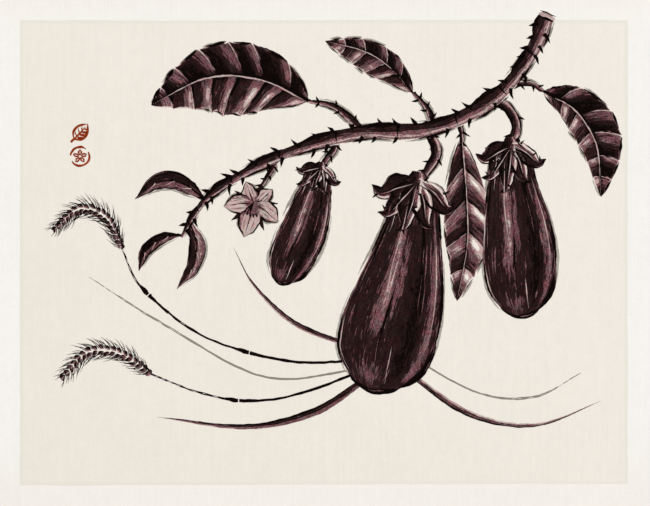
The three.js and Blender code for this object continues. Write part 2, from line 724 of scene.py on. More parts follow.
def strike_through_and_crease_shade(sheet, patches):
    """Marks the sheet's back where the picture's ink has soaked in, and paints shade along the
    fold.
    """
    inked = np.zeros((SHEET_COLUMNS + 1, SHEET_ROWS + 1))
    for p in patches:
        crossing = nearest_crossing(*doubled(p.place).reshape(-1, 2).T)
        np.maximum.at(inked, crossing, np.clip(doubled(p.load).ravel(), 0, 1))
    for _ in range(SOAK_ROUNDS):
        inked[:, 1:-1] = (inked[:, :-2] + 2 * inked[:, 1:-1] + inked[:, 2:]) / 4
        inked[1:-1] = (inked[:-2] + 2 * inked[1:-1] + inked[2:]) / 4

    x, y, _ = numbers_of(sheet.data.vertices, "co", 3).T / MM
    # Painted shade: a darker line along the fold on the back, for a crease that the mesh doesn't
    # have.
    strength, width = FOLD_SHADE
    through = np.maximum(inked[nearest_crossing(x, y)], strength * gauss(x, FOLD_AT, width))
    through[numbers_of(sheet.data.vertices, "normal", 3)[:, 2] > -0.5] = 0
    give_number(sheet.data, "through", through)


def ground_patch():
    """The tint's rectangle, its edges a little uneven as a hand-cut block leaves them."""
    u = spread(GROUND_COLUMNS, GROUND_BUNCHED)
    v = spread(GROUND_ROWS, GROUND_BUNCHED)[:, None]
    left = GROUND_LEFT + waver(GROUND_ROWS, *GROUND_WANDER)[:, None]
    right = GROUND_RIGHT + waver(GROUND_ROWS, *GROUND_WANDER)[:, None]
    bottom = GROUND_BOTTOM + waver(GROUND_COLUMNS, *GROUND_WANDER) + GROUND_TILT * (u - 0.5)
    top = GROUND_TOP + waver(GROUND_COLUMNS, *GROUND_WANDER)
    x = left * (1 - u) + right * u
    y = bottom * (1 - v) + top * v
    off_sides = np.minimum(x - GROUND_LEFT, GROUND_RIGHT - x)
    off_edge = np.minimum(off_sides, np.minimum(y - GROUND_BOTTOM, GROUND_TOP - y))
    place = np.stack([x, y], 2)
    return patch(place, place, np.clip(1 - off_edge / RIM_WIDTH, 0, 1))


# ------------------------------------------------------------------ the branch
# The length of stem that each set of its lines is drawn for.
STEM_PIECE = 24


def thorns(on, alongs, size, side, lean=35, step=2):
    """Black thorns along a patch's edge, leaning the way the patch runs."""
    made = []
    for along in alongs:
        across = side * rng.uniform(0.5, 1.0)
        root, ahead = trace(on, [along, min(along + 0.02, 1)], [across, across])
        middle = trace(on, [along], [0.0])[0]
        way = unit(unit(root - middle) + math.tan(math.radians(lean)) * unit(ahead - root))
        length = size * rng.uniform(0.7, 1.3)
        bow = turned(way, 90) * length * rng.uniform(-0.12, 0.12)
        stops = [root - way * 0.6, root + way * length * 0.35 + bow, root + way * length]
        made.append(stroke(stops, (0.46 * size, 0.34 * size, 0.05), step=step, rough=0.05))
    return made


def stem_load(share, across):
    """A round stem: pale on its lit side, mauve, then plum on the other."""
    tone = 0.48 + 0.30 * rise(across, -0.1, 0.35) - 0.26 * gauss(across, -0.52, 0.2)
    return tone - 0.5 * rise(np.abs(across), 0.86, 1.0) * (across < 0)


def part_way(first, last, from_first, from_last, across, far=None):
    """Stops for a line along part of a stem, each end a random share in from the part's."""
    start = first + rng.uniform(*from_first) * (last - first)
    end = last - rng.uniform(*from_last) * (last - first)
    return [(start, across), ((start + end) / 2, across), (end, far or across)]


def stem(points, widths, ink, grey):
    """A stem with its dark core line, its contour strokes and pale edge lines."""
    body = stroke(points, widths, stem_load, columns=11, step=1, rough=0.15)
    ink.append(body)
    width = float(np.mean(widths))
    ends = np.linspace(0, 1, max(round(gaps(points).sum() / STEM_PIECE), 1) + 1)
    for a, b in zip(ends, ends[1:]):
        w = width / 6 * rng.uniform(0.85, 1.25)
        shade = part_way(a, b, (0.0, 0.06), (0.04, 0.2), 0.96, 0.8)
        ink.append(drawn_on(body, shade, (0.3, 2.2 * w, 1.5 * w, 0.1), outside=0.1))
        light = part_way(a, b, (0.08, 0.3), (0.0, 0.16), -0.98)
        ink.append(drawn_on(body, light, (0.05, 0.8 * w, 1.0 * w, 0.05)))
        core = part_way(a, b, (0.0, 0.1), (0.1, 0.3), 0.12, 0.3)
        ink.append(drawn_on(body, core, (0.2, 1.3 * w, 0.7 * w, 0.05), DARK))
        if width > 3:
            ring = [(a + 0.01, 0.9), (a + 0.01 + 0.02 * (b - a), 0.0), (a + 0.012, -0.8)]
            ink.append(drawn_on(body, ring, (1.6 * w, 0.9 * w, 0.1), step=3))
        edge = part_way(a, b, (0.0, 0.3), (0.0, 0.2), -1.0)
        grey.append(drawn_on(body, edge, (0.1, 1.3, 1.0, 0.1), 0.6, 0, outside=0.5))
        if rng.random() < 0.6:
            edge = part_way(a, b, (0.1, 0.3), (0.1, 0.2), 1.0)
            grey.append(drawn_on(body, edge, (0.1, 1.0, 0.8, 0.1), 0.5, 0, outside=0.9))
    return body


# ------------------------------------------------------------------ fruit
# A fruit's mesh, and the shares of its length in which its foot and its cap round off.
FRUIT_ROWS, FRUIT_COLUMNS = 110, 27
FOOT_SHARE, CAP_SHARE = 0.2, 0.08

# Strokes on a fruit, by share from its foot and place across: contours, thick on the shadow side
# and under the foot, then long dark ones that follow the form.
FRUIT_CONTOURS = (
    ([(0.10, 0.985), (0.22, 1), (0.38, 1)], (0.3, 3.2, 2.2, 0.3)),
    ([(0.34, 1), (0.5, 1), (0.68, 1)], (0.2, 1.9, 1.2, 0.2)),
    ([(0.64, 0.99), (0.74, 1), (0.84, 1)], (0.1, 1.3, 0.2)),
    ([(0.13, -0.99), (0.03, -0.8), (0.004, -0.2), (0.02, 0.6), (0.12, 0.99)],
     (0.3, 1.5, 2.4, 3.0, 0.6)),
    ([(0.16, -1), (0.3, -1), (0.46, -1)], (0.2, 1.5, 0.9, 0.1)),
    ([(0.56, -1), (0.68, -1), (0.84, -1)], (0.1, 1.2, 0.8, 0.1)),
)
FRUIT_SHADES = (
    ([(0.86, 0.2), (0.66, 0.3), (0.42, 0.34)], (0.3, 2.0, 1.4, 0.1)),
    ([(0.78, -0.72), (0.6, -0.76), (0.4, -0.74)], (0.1, 1.3, 1.0, 0.1)),
    ([(0.5, -0.08), (0.3, -0.1), (0.14, -0.02)], (0.1, 1.5, 1.0, 0.1)),
)

# Pale hairlines left between the blocks.
FRUIT_HAIRLINES = (
    [(0.80, -0.2), (0.6, -0.24), (0.44, -0.18)],
    [(0.7, 0.66), (0.5, 0.68), (0.3, 0.66)],
    [(0.84, -0.52), (0.74, -0.56), (0.66, -0.56)],
    [(0.3, 0.1), (0.2, 0.16), (0.12, 0.28)],
    [(0.36, -0.86), (0.24, -0.84), (0.14, -0.72)],
)

# The grey block's lines just outside a fruit: stops, width and load.
FRUIT_GREYS = (
    ([(0.5, -1), (0.7, -1), (0.86, -1)], 1.4, 0.6),
    ([(0.1, -1), (0.25, -1), (0.44, -1)], 1.2, 0.5),
    ([(0.2, 1), (0.4, 1), (0.6, 1)], 1.4, 0.5),
    ([(0.0, -0.5), (0.0, 0.0), (0.04, 0.8)], 1.3, 0.5),
)

# A calyx: its crown's two side lines, the turn of each lobe, the outer ones first, and each
# lobe's lines, the last of them pale.
CROWN_LINES = (
    ([(0.0, 1), (0.3, 1), (0.6, 1)], (0.3, 1.2, 0.4)),
    ([(0.0, -1), (0.3, -1), (0.6, -1)], (0.1, 0.8, 0.2)),
)
LOBE_TURNS = (-80, 66, -44, 24, -12)
LOBE_LINES = (
    ([(0.3, -1), (0.7, -1), (1.0, -1)], (0.1, 0.7, 0.6, 0.1), FULL, 4),
    ([(0.1, 0.1), (0.5, 0.0), (0.8, 0.1)], (0.3, 0.9, 0.1), FULL, 4),
    ([(0.12, -0.16), (0.4, -0.2), (0.66, -0.16)], (0.05, 0.4, 0.05), PALE, 5),
)


def fruit_load(down, across, off_edge):
    """A glossy fruit lit from the left: dark flanks, one long light and a low glow.

    down is the share from the cap to the foot, across goes from -1 at the lit side to 1,
    and off_edge is the distance in from the outline.
    """
    middle = -0.38 + 0.12 * np.sin(math.pi * down)
    light = gauss(across, middle, 0.12 + 0.05 * down) * rise(down, 0.08, 0.2)
    light = light * (1 - rise(down, 0.58, 0.86))
    second = gauss(across, middle + 0.27, 0.05) * rise(down, 0.22, 0.34)
    second = second * (1 - rise(down, 0.5, 0.72))
    glow = gauss(across, 0.80, 0.10) * rise(down, 0.2, 0.4) * (1 - rise(down, 0.86, 0.97))
    belt = gauss(across, 0.46, 0.20) * rise(down, 0.25, 0.5) * (1 - rise(down, 0.88, 1.0))
    low = gauss(down, 0.93, 0.05) * gauss(across, -0.2, 0.45)
    neck = gauss(down, 0.15, 0.05) * gauss(across, -0.1, 0.5)
    dark = 0.78 + 0.17 * belt
    inside = dark - 0.50 * light - 0.26 * second - 0.38 * glow - 0.26 * low - 0.30 * neck
    return inside * rise(off_edge, 0.0, 0.7)


def domed(past):
    """How full a fruit still is near an end, by the share of the way through its rounding."""
    return np.sqrt(np.clip(1 - np.clip(past, 0, 1) ** 2.4, 0.0002, 1))


def fruit(spine, half_widths, ink, grey):
    """A hanging fruit. Its patch runs from the foot to the cap, left side first."""
    line, share, length = smooth_line(spine, FRUIT_ROWS, 0.85)
    foot = domed((FOOT_SHARE - share) / FOOT_SHARE)
    cap = domed((share - (1 - CAP_SHARE)) / CAP_SHARE)
    half = smooth(half_widths, share) * foot * cap + waver(FRUIT_ROWS, 0.12, 16)
    half = np.maximum(half, 0.05)[:, None]
    across = np.sin(np.linspace(-1, 1, FRUIT_COLUMNS) * math.pi / 2 * 0.94)[None, :]
    across /= across.max()
    place = line[:, None] + to_the_right(line)[:, None] * (half * across)[:, :, None]
    load = fruit_load(1 - share[:, None], across, (1 - np.abs(across)) * half)
    brush = brush_map(share[:, None] * length, across * half.max() * 0.9)
    body = patch(place, brush, load)
    ink.append(body)
    size = half.max() / 26
    accents(ink, body, FRUIT_CONTOURS, 0.35 + 0.65 * size)
    accents(ink, body, FRUIT_SHADES, size)
    for stops in FRUIT_HAIRLINES:
        ink.append(drawn_on(body, stops, (0.04, 0.42, 0.3, 0.04), PALE, 4))
    # Dark streaks in the light, and light ones in the dark.
    for _ in range(round(34 * size)):
        start = rng.uniform(0.12, 0.8)
        at = rng.uniform(-0.9, 0.9)
        stops = [(start, at), (min(start + rng.uniform(0.04, 0.14), 0.93), at * 0.98)]
        load = DARK if rng.random() < 0.4 else 0.44
        ink.append(drawn_on(body, stops, (0.03, rng.uniform(0.3, 0.7), 0.03), load, 1))
    for stops, width, load in FRUIT_GREYS:
        widths = (0.1, width, width * 0.8, 0.1)
        grey.append(drawn_on(body, stops, widths, load, 0, outside=1.0))


def crown_load(share, across):
    """Plum, darker to one side, with a paler line on the other."""
    return 0.75 + 0.25 * across - 0.4 * gauss(across, -0.5, 0.2)


def lobe_load(share, across):
    """Plum, darker to one side and at the tip, with a pale edge on the other side."""
    tone = 0.72 + 0.24 * across + 0.30 * rise(share, 0.7, 1.0)
    return tone - 0.52 * gauss(across, -0.78, 0.2) * (1 - rise(share, 0.8, 1.0))


def calyx(top, way, size, ink):
    """The spiny cap: pointed lobes that spread from the stem over the fruit's shoulders."""
    way = unit(way)
    top = np.array(top, float)
    crown = stroke(
        [top - way * size * 0.2, top + way * size * 0.08, top + way * size * 0.34],
        (size * 0.22, size * 0.52, size * 0.66), crown_load, columns=9,
    )
    ink.append(crown)
    add_lines(ink, crown, CROWN_LINES, step=3)
    for turn in LOBE_TURNS:
        out = turned(way, turn)
        side = turned(out, math.copysign(90, turn))
        reach = size * rng.uniform(0.9, 1.12) * (1.0 if abs(turn) < 60 else 0.86)
        path = [
            top + way * size * 0.02,
            top + out * reach * 0.42 + way * size * 0.08,
            top + out * reach * 0.78 + way * size * 0.20,
            top + out * reach * 1.02 + way * size * 0.12 + side * size * 0.10,
        ]
        widths = np.array((0.22, 0.44, 0.30, 0.01)) * size
        lobe = stroke(path, widths, lobe_load, columns=9, step=3)
        ink.append(lobe)
        contour = [(0.15, 1), (0.6, 1), (1.0, 1)]
        accent(ink, drawn_on(lobe, contour, (0.2, 1.5, 1.1, 0.1), step=4))
        add_lines(ink, lobe, LOBE_LINES)
        spikes = scattered(0.2, 0.8, 3)
        ink.extend(thorns(lobe, spikes, size * 0.12, rng.choice([-1, 1]), 20, 4))


# ------------------------------------------------------------------ leaves
# Points along a midrib.
RIB_POINTS = 49

# The underlying wash and a panel: rows and columns of each.
UNDER_ROWS, UNDER_COLUMNS = 40, 7
PANEL_ROWS, PANEL_COLUMNS = 30, 13

# Half the width of the pale gap that a side rib leaves between two panels.
RIB_GAP = 0.3

# Where the side ribs of a small leaf start.
SMALL_LEAF_RIBS = (0.25, 0.45, 0.65)


class LeafShape:
    """A broad leaf's outline: its midrib, and how far its left and right side reach from it."""

    def __init__(self, midrib, half_width, narrow, slant):
        self.rib, _, self.length = smooth_line(midrib, RIB_POINTS, 0.0)
        self.right = to_the_right(self.rib)
        self.half_width = half_width
        self.narrow = dict(zip((-1, 1), narrow))
        self.slant = slant

    def at(self, along, out, side):
        """Points by their rib's place along the midrib and their share of the way out."""
        along, out = np.broadcast_arrays(np.asarray(along, float), np.asarray(out, float))
        round_out = np.sin(math.pi * np.clip(along, 0, 1) ** 0.78) ** 0.8 * (1.06 - 0.3 * along)
        width = np.maximum(self.half_width * round_out * self.narrow[side], 0.05)
        reach = along * self.length + self.slant * width * out**1.25 * (1 - 0.5 * along)
        where = np.clip(reach / self.length, 0, 1) * (RIB_POINTS - 1)
        index = np.minimum(where.astype(int), RIB_POINTS - 2)
        part = (where - index)[..., None]
        past = np.maximum(reach - self.length, 0)[..., None]
        ahead = np.array([-self.right[-1, 1], self.right[-1, 0]])
        base = self.rib[index] * (1 - part) + self.rib[index + 1] * part + ahead * past
        normal = self.right[index] * (1 - part) + self.right[index + 1] * part
        return base + normal * (side * width * out)[..., None]


def leaf_panel(shape, side, a, b, dip, dark_side, tone):
    """The brushed panel between two side ribs, its rim drawn in by dip between them."""
    gap = RIB_GAP / shape.length
    s = np.linspace(0.015, 1.0, PANEL_ROWS)[:, None]
    local = np.linspace(0, 1, PANEL_COLUMNS)[None, :]
    rim = 1 - dip * np.sin(math.pi * local) + 0.035 * waver(PANEL_COLUMNS, 0.4, 3)[None, :]
    place = shape.at(a + gap + (b - a - 2 * gap) * local, s * rim, side)
    turn_dark = rng.uniform(0.35, 0.6)
    dark = rise(local, turn_dark - 0.28, turn_dark + 0.22)
    load = 0.44 + 0.38 * dark + (0.14 if dark_side else -0.04) + tone
    load = load + 0.16 * (1 - rise(s, 0.0, 0.35)) - 0.12 * rise(s, 0.7, 1.0)
    pale = gauss(local, turn_dark - 0.3, 0.12) * rise(s, 0.15, 0.4) * (1 - rise(s, 0.6, 0.9))
    load = load - rng.uniform(0.05, 0.24 if dark_side else 0.34) * pale
    middle = PANEL_COLUMNS // 2
    run = np.linalg.norm(place[-1, middle] - place[0, middle])
    span = np.linalg.norm(place[:, -1] - place[:, 0], axis=1).mean()
    load = load * rise((1 - s) * run, 0.0, 0.7)
    return patch(place, brush_map(s * run, local * span), load, 1)


def leaf(ink, grey, midrib, half_width, panels, shadow, tone, narrow, slant):
    """A broad leaf: pale ribs left between brushed panels, dark lines beside the ribs."""
    shape = LeafShape(midrib, half_width, narrow, slant)
    gap = RIB_GAP / shape.length
    size = half_width / 24
    for side in (-1, 1):
        dark_side = side == shadow
        rows, columns = np.linspace(0, 1, UNDER_ROWS), np.linspace(0, 0.94, UNDER_COLUMNS)
        under = shape.at(rows[:, None], columns[None, :], side)
        wash = np.full(under.shape[:2], PALE)
        ink.append(patch(under, under + rng.uniform(0, 300, 2), wash))
        cuts = np.linspace(0, 1, panels + 1)
        cuts[1:-1] += rng.uniform(-0.16, 0.16, panels - 1) / panels
        for a, b in zip(cuts, cuts[1:]):
            dip = rng.uniform(0.03, 0.09)
            ink.append(leaf_panel(shape, side, a, b, dip, dark_side, tone))
            w = size * rng.uniform(0.8, 1.25)
            if b < 1:
                vein = shape.at(np.full(7, b - gap * 1.5), np.linspace(0.0, 0.94, 7), side)
                accent(ink, stroke(vein, np.array((2.2, 1.6, 0.9, 0.08)) * w))
            local = np.linspace(0.04, rng.uniform(0.7, 1.0), 7)
            rim = shape.at(a + (b - a) * local, 1 - dip * np.sin(math.pi * local), side)
            if dark_side or rng.random() < 0.7:
                heavy = 1.9 if dark_side else 1.0
                accent(ink, stroke(rim, np.array((0.2, 1.0, 0.7, 0.1)) * w * heavy))
            if rng.random() < 0.75:
                outwards = unit(rim[3] - shape.rib[RIB_POINTS // 2])
                shifted = rim + rng.normal(0, 0.4, 2) + 0.5 * outwards
                grey.append(stroke(shifted, (0.1, 1.3, 1.0, 0.1), 0.55, step=0))
    run = np.linspace(0.0, 0.97, 11)
    light, dark = shape.at(run, 0.03, -shadow), shape.at(run, 0.02, shadow)
    ink.append(stroke(light, np.array((1.5, 1.2, 0.8, 0.1)) * size, PALE, step=3))
    ink.append(stroke(dark, np.array((2.0, 1.5, 1.0, 0.2)) * size, step=4))


def small_leaf(points, widths, tone, ink, grey):
    """A leaf laid down in one dab of the brush."""

    def load(share, across):
        return tone + 0.2 * across - 0.3 * gauss(across, -0.35, 0.22) + 0.1 * share

    body = stroke(points, widths, load, columns=9, step=1, rough=0.15)
    ink.append(body)
    ink.append(drawn_on(body, [(0, 0.0), (0.5, 0.08), (0.95, 0.0)], (0.7, 0.6, 0.1)))
    accent(ink, drawn_on(body, [(0.1, 1), (0.5, 1), (1, 1)], (0.1, 1.3, 0.9, 0.1)))
    ink.append(drawn_on(body, [(0.2, -1), (0.6, -1), (0.95, -1)], (0.05, 0.6, 0.05)))
    for at in SMALL_LEAF_RIBS:
        ink.append(drawn_on(body, [(at, 0.0), (at + 0.12, 0.7)], (0.5, 0.3, 0.05)))
        ink.append(drawn_on(body, [(at, 0.0), (at + 0.12, -0.7)], (0.4, 0.3, 0.05), PALE, 3))
    edge = [(0.1, -1), (0.5, -1), (0.9, -1)]
    grey.append(drawn_on(body, edge, (0.1, 1.1, 0.1), 0.55, 0, outside=0.7))


# ------------------------------------------------------------------ flower and grass
# The flower's parts, each by its turn from the way that the flower faces, the hindmost first.
SEPAL_TURNS = (178, 112, -106, 40, -36)
PETAL_TURNS = (148, -140, 76, -70, 2)
ANTHER_TURNS = (-34, 32, -17, 15, -1)

# A petal's contours, its middle line and two faint ones.
PETAL_LINES = (
    ([(0.22, 1), (0.6, 1), (1, 1)], (0.1, 1.1, 0.8, 0.2), FULL),
    ([(0.3, -1), (0.64, -1), (1, -1)], (0.1, 0.7, 0.6, 0.1), FULL),
    ([(0.2, 0), (0.5, 0.04), (0.88, 0)], (0.6, 0.5, 0.05), 0.9),
    ([(0.34, -0.42), (0.72, -0.5)], (0.05, 0.4, 0.05), 0.5),
    ([(0.34, 0.4), (0.72, 0.46)], (0.05, 0.4, 0.05), 0.5),
)

# Steps along a grass head, each with two bristles. One in so many also has two seeds.
HEAD_STEPS = 52
SEED_EVERY = 3


def petal_load(share, across):
    """Pale, with mauve at the heart, along the middle and down one side."""
    heart = 0.34 * (1 - rise(share, 0.05, 0.42)) * (1 - 0.5 * np.abs(across))
    rib = 0.16 * gauss(across, 0.05, 0.16) * (1 - share)
    return 0.17 + heart + rib + 0.24 * rise(across, 0.4, 1.0) + 0.12 * rise(share, 0.82, 1.0)


def anther_load(share, across):
    """Mauve, with a dark side that parts it from the next one, and a dark tip."""
    return 0.44 + 0.6 * rise(across, 0.1, 0.6) + 0.5 * rise(share, 0.72, 0.95)


def flower(middle, facing, size, ink, grey):
    """A nodding star flower: the petals at the back first, then the sides and the front."""
    middle = np.array(middle, float)
    facing = unit(facing)
    for turn in SEPAL_TURNS:
        out = turned(facing, turn)
        reach = size * (0.74 + 0.1 * math.cos(math.radians(turn)))
        path = [middle, middle + out * reach * 0.5, middle + out * reach]
        ink.append(stroke(path, np.array((0.16, 0.2, 0.01)) * size, 0.8, step=0))
    # Each petal takes a step of ink for itself and one for its lines, and the anthers lie on top.
    for number, turn in enumerate(PETAL_TURNS):
        step = 1 + 2 * number
        out = turned(facing, turn)
        reach = size * (0.84 + 0.16 * math.cos(math.radians(turn)))
        bow = turned(out, 90) * size * rng.uniform(-0.05, 0.05)
        path = [
            middle, middle + out * reach * 0.36 - bow, middle + out * reach * 0.7,
            middle + out * reach + bow,
        ]
        widths = np.array((0.10, 0.50, 0.62, 0.44, 0.01)) * reach
        petal = stroke(path, widths, petal_load, columns=13, step=step, rows=40)
        ink.append(petal)
        add_lines(ink, petal, PETAL_LINES, step=step + 1)
        edge = [(0.3, 1), (0.6, 1), (1.0, 1)]
        grey.append(drawn_on(petal, edge, (0.1, 1.0, 0.1), 0.55, 0, outside=0.6))
    for step, turn in enumerate(ANTHER_TURNS, 1 + 2 * len(PETAL_TURNS)):
        out = turned(facing, turn) * size
        path = [middle - out * 0.05, middle + out * 0.16, middle + out * 0.38]
        widths = np.array((0.07, 0.14, 0.04)) * size
        ink.append(stroke(path, widths, anther_load, columns=9, step=step, rough=0.0, rows=14))


def seed_load(share, across):
    """Mauve, darker to one side."""
    return 0.5 + 0.35 * across


def foxtail(stem_points, head_points, ink):
    """A grass stem with a drooping bristly head. Gives the stem's patch."""
    culm = stroke(stem_points + head_points[:1], (1.5, 1.2, 1.1, 0.9), step=1)
    ink.append(culm)
    line, share, _ = smooth_line(head_points, HEAD_STEPS, 0.0)
    for i, (point, right) in enumerate(zip(line, to_the_right(line))):
        way = np.array([-right[1], right[0]])
        fat = math.sin(math.pi * (0.08 + 0.9 * share[i])) ** 0.6
        for side in (-1, 1):
            out = unit(way + right * side * rng.uniform(0.4, 1.1))
            root = point + right * side * 1.2 * fat
            reach = rng.uniform(5.0, 8.5) * (0.5 + 0.5 * fat)
            bend = root + out * reach * 0.5 + right * side * 0.4
            path = [root, bend, root + out * reach + way * 0.8]
            ink.append(stroke(path, (0.42, 0.32, 0.05), step=3, rows=8, rough=0.0))
        if i % SEED_EVERY:
            continue
        for side in (-1, 1):
            seat = point + right * side * rng.uniform(0.9, 1.8) * fat
            lie = unit(way + right * side * 0.6)
            path = [seat - lie * 1.6, seat, seat + lie * 1.9]
            seed = stroke(path, (0.4, 2.2, 0.3), seed_load, columns=5, step=1)
            ink.append(seed)
            ink.append(drawn_on(seed, [(0.05, 1), (0.5, 1), (0.95, 1)], (0.1, 0.6, 0.1), rows=8))
    return culm


def grass_joint(on, along, ink):
    """A joint in a grass stem: a dark wedge above it, a sheath below and a slit between."""
    wedge = [(along, 0), (along + 0.015, 0), (along + 0.05, 0)]
    ink.append(drawn_on(on, wedge, (2.0, 2.3, 1.5, 0.9), step=3))
    sheath = [(along - 0.09, 0), (along - 0.04, 0), (along - 0.004, 0)]
    ink.append(drawn_on(on, sheath, (1.2, 1.3, 1.6, 1.9), step=3))
    middle, beside = trace(on, [along - 0.002, along - 0.002], [0, 1])
    out = unit(beside - middle) * 1.5
    ink.append(stroke([middle - out, middle, middle + out], (0.3, 0.4, 0.3), DRY, step=4, rows=8))


def dry_gaps(on, first, last, step, ink):
    """Eight bare slivers along the middle of a line, where the brush ran dry."""
    for start in scattered(first, last, 8):
        at = rng.uniform(-0.3, 0.3)
        stops = [(start, at), (start + rng.uniform(0.012, 0.03), at)]
        ink.append(drawn_on(on, stops, (0.04, rng.uniform(0.18, 0.3), 0.04), DRY, step))


def blade(points, widths, tone, ink):
    """A long grass leaf with a mauve side and a dark side."""

    def load(share, across):
        return tone + 0.3 * across - 0.25 * share

    body = stroke(points, widths, load, columns=7, step=1)
    ink.append(body)
    ink.append(drawn_on(body, [(0.0, 0.1), (0.4, 0.1), (0.8, 0.1)], (0.5, 0.4, 0.05)))
    ink.append(drawn_on(body, [(0.05, 1), (0.5, 1), (0.95, 1)], (0.1, 0.8, 0.5, 0.1)))


# ------------------------------------------------------------------ the picture
# Each motif's height over the paper, in layers of ink.
LEVELS = {
    "grass": 3, "back_leaf": 5, "side_stem": 5, "right_fruit": 9, "large_fruit": 15,
    "young_fruit": 9, "left_leaf": 3, "right_leaf": 3, "top_leaf": 3, "flower": 9,
    "shoot": 10, "stalk": 10,
}

# The grass: each foxtail's stem and head, the shares along its stem where its joints are, each
# blade with its widths and tone, and the faint blades of the grey block.
FOXTAILS = (
    ([(14, -54), (-18, -54), (-60, -42), (-91, -18)],
     [(-102, 3), (-109, 17), (-122, 22), (-135, 12)]),
    ([(30, -54), (-8, -69), (-36, -74), (-62, -70)],
     [(-88, -60), (-103, -50), (-119, -50), (-131, -62)]),
)
GRASS_JOINTS = ((0.4, 0.76), (0.6,))
BLADES = (
    ([(22, -62), (-6, -80), (-40, -87), (-84, -82)], (3.4, 3.4, 2.2, 0.1), 0.72),
    ([(18, -48), (-14, -36), (-35, -17), (-46, 3)], (2.6, 2.4, 1.4, 0.1), 0.56),
    ([(34, -54), (70, -79), (104, -86), (138, -74)], (2.8, 2.8, 1.8, 0.1), 0.5),
)
FAINT_BLADES = (
    [(18, -58), (-30, -62), (-80, -36), (-118, -12)],
    [(34, -46), (74, -69), (104, -72), (128, -60)],
)

# The stalk from its cut end to its tip, the cut, and the side stems, each with its widths.
STALK = (
    (111, 118.5), (102, 98), (83, 76), (53, 62), (17, 60), (-13, 52), (-40, 40), (-60, 26),
    (-72, 8),
)
STALK_WIDTHS = (
    8.4, 7.4, 7.0, 7.2, 8.8, 6.8, 6.6, 7.8, 6.2, 6.8, 6.2, 5.2, 5.4, 4.2, 3.8, 2.9, 1.8,
)
STALK_CUT = ((107.0, 120.0), (109.2, 119.2), (111.0, 118.5), (112.9, 117.6), (114.9, 116.7))
CUT_WIDTHS = (0.3, 2.6, 3.2, 2.6, 0.3)
SIDE_STEMS = (
    ([(52, 62), (56, 51), (52, 42), (46, 35)], (5.4, 4.2, 4.4, 6.0)),
    ([(84, 77), (92, 72), (96, 64), (93, 54)], (5.0, 4.0, 4.2, 5.4)),
    ([(6, 58), (5, 52), (1, 47), (-2, 42)], (3.4, 2.6, 2.8, 3.4)),
    ([(18, 61), (10, 69), (2, 74), (-8, 76)], (4.4, 3.2, 2.8, 2.2)),
    ([(86, 79), (94, 84), (102, 85), (109, 81)], (4.2, 3.0, 2.6, 2.2)),
    ([(54, 62), (52, 70), (48, 76), (44, 80)], (4.0, 2.8, 2.4, 1.8)),
    ([(66, 69), (67.6, 64), (68.4, 59), (68.6, 52)], (3.2, 2.2, 1.8, 1.2)),
    ([(-24, 47), (-26, 42), (-30, 36), (-34.5, 30)], (2.8, 2.0, 1.9, 3.2)),
)

# Each leaf: its midrib, half width, panels to a side, shaded side (-1 left, 1 right), tone, the
# share of the half width that its left and right side have, and how far its side ribs slant.
LEAVES = {
    "back_leaf": ([(68, 58), (70, 34), (71, 6), (66, -24)], 12.5, 5, 1, -0.14, (1.0, 1.0), 1.3),
    "left_leaf": ([(-8, 76), (-31, 87), (-59, 88), (-87, 74)], 22.5, 7, 1, 0.0, (1.0, 0.8), 0.6),
    "right_leaf": (
        [(109, 81), (125, 72), (136, 54), (138, 28)], 16.5, 6, -1, 0.0, (0.9, 0.62), 0.6,
    ),
    "top_leaf": ([(44, 80), (34, 92), (20, 101), (0, 106)], 12, 5, 1, 0.0, (0.9, 0.6), 0.9),
}
SMALL_LEAVES = (
    ([(-60, 27), (-72, 35), (-84, 35), (-95, 27)], (1.5, 8.0, 7.0, 0.2), 0.7),
    ([(-68, 16), (-64, 5), (-66, -7), (-74, -18)], (1.5, 7.0, 6.0, 0.2), 0.6),
    ([(-72, 9), (-82, 7), (-90, 0), (-93, -9)], (1.2, 5.5, 4.8, 0.2), 0.8),
)

# Each fruit, the hindmost first: its spine from the foot up and its half widths along it, then
# its calyx's top, way and size.
FRUITS = {
    "right_fruit": (
        ([(98, -32), (97, 3), (94, 31), (92, 56)], (12.6, 16.4, 18, 16.8, 14, 10.8, 7.8)),
        ((93, 54), (0.05, -1), 20),
    ),
    "large_fruit": (
        ([(23, -69), (35, -28), (43, 8), (46, 38)], (17.4, 22, 24.2, 22.8, 19.4, 15.6, 12, 9.2)),
        ((46, 36), (-0.12, -1), 24),
    ),
    "young_fruit": (
        ([(-23, -15), (-13, 6), (-6, 26), (-2, 44)], (8, 10.5, 11.7, 10.4, 7.6, 4.6)),
        ((-2, 43), (-0.2, -1), 12.5),
    ),
}
FLOWER = ((-35.4, 24.2), (-0.35, -1), 17)


def draw_branch(inks, grey):
    """The side stems, then the stalk over them with its cut end, each with its thorns."""
    for points, widths in SIDE_STEMS:
        side_stem = stem(points, widths, inks["side_stem"], grey)
        for side in (-1, 1):
            inks["side_stem"].extend(thorns(side_stem, scattered(0.25, 0.8, 3), 3.2, side))
    wood = inks["stalk"]
    stalk = stem(STALK, STALK_WIDTHS, wood, grey)
    wood.extend(thorns(stalk, scattered(0.03, 0.95, 25), 4.7, 1))
    wood.extend(thorns(stalk, scattered(0.05, 0.97, 22), 4.3, -1))
    cut = np.array(STALK_CUT)
    wood.append(stroke(cut, CUT_WIDTHS, PALE, columns=5, step=3))
    wood.append(stroke(cut + (-0.5, -1.3), (0.3, 0.9, 1.2, 0.9, 0.3), step=4))
    wood.append(stroke(cut + (0.6, 1.3), (0.1, 0.5, 0.7, 0.5, 0.1), step=4))


